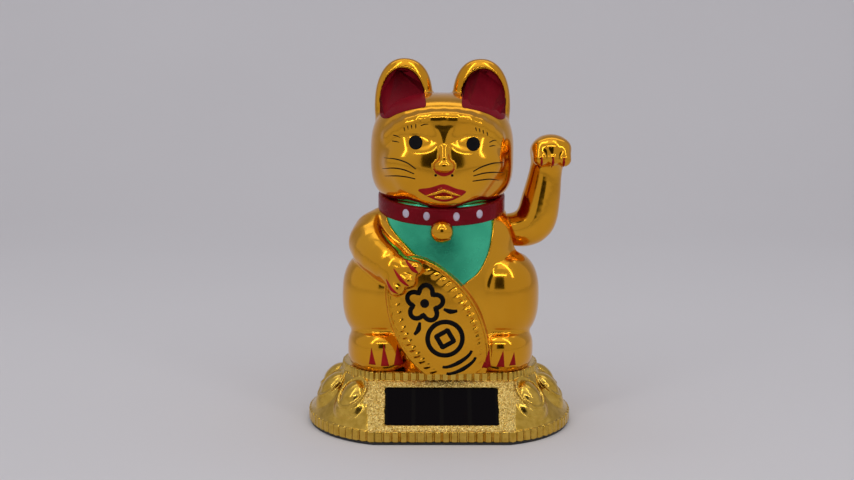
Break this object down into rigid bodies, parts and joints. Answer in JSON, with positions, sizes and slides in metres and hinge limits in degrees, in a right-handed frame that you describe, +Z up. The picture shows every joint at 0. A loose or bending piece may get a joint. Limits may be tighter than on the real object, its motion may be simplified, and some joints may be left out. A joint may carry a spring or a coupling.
{
  "type": "beckoning cat figurine",
  "caption": "Seated gold cat on a rounded base with a solar cell; a magnet pendulum hidden in the body swings its raised arm.",
  "frame": {"origin": "middle of the flat underside, on the surface the figurine stands on", "axes": "+Z up; the cat faces -Y; its raised arm is on +X"},
  "size_m": [0.086, 0.06, 0.1177],
  "materials": {
    "gold_plating": "vacuum-plated gold, mirror gloss",
    "black_plastic": "matt",
    "screw_steel": "zinc plated",
    "solar_glass": "dark amorphous cell behind glass",
    "board_laminate": "phenolic laminate",
    "bobbin_plastic": "natural nylon",
    "enamelled_copper": "enamelled copper wire",
    "capacitor_sleeve": "shrink sleeve",
    "chip_epoxy": "epoxy blob",
    "lead_red": "PVC insulation",
    "lead_black": "PVC insulation",
    "collar_red": "gloss lacquer",
    "stud_pearl": "pearl paint",
    "ear_crimson": "metallic lacquer",
    "bib_green": "metallic lacquer",
    "frame_plastic": "natural acetal",
    "bush_brass": "turned",
    "axle_steel": "ground",
    "magnet_nickel": "nickel plated"
  },
  "bodies": {
    "figure": {"bottom_cover": "black_plastic", "cover_screws": "screw_steel", "base_shell": "gold_plating", "solar_cell": "solar_glass", "circuit_board": "board_laminate", "coil_bobbin": "bobbin_plastic", "drive_coil": "enamelled_copper", "storage_capacitor": "capacitor_sleeve", "driver_chip": "chip_epoxy", "lead_positive": "lead_red", "lead_negative": "lead_black", "board_screws": "screw_steel", "body_screws": "screw_steel", "front_shell": "gold_plating", "rear_shell": "gold_plating", "collar": "collar_red", "collar_studs": "stud_pearl", "bell": "gold_plating", "ear_paint": "ear_crimson", "bib_paint": "bib_green", "pivot_frame": "frame_plastic", "frame_screws": "screw_steel", "left_bush": "bush_brass", "right_bush": "bush_brass"},
    "swing": {"axle": "axle_steel", "pendulum_lever": "frame_plastic", "balance_weight": "axle_steel", "magnet": "magnet_nickel", "arm_front_half": "gold_plating", "arm_rear_half": "gold_plating"}
  },
  "joints": [
    {"name": "arm_swing", "type": "hinge", "parent": "figure", "child": "swing", "pos_m": [0, 0.0015, 0.0635], "axis": [1, 0, 0], "range_deg": [-16, 16]}
  ]
}
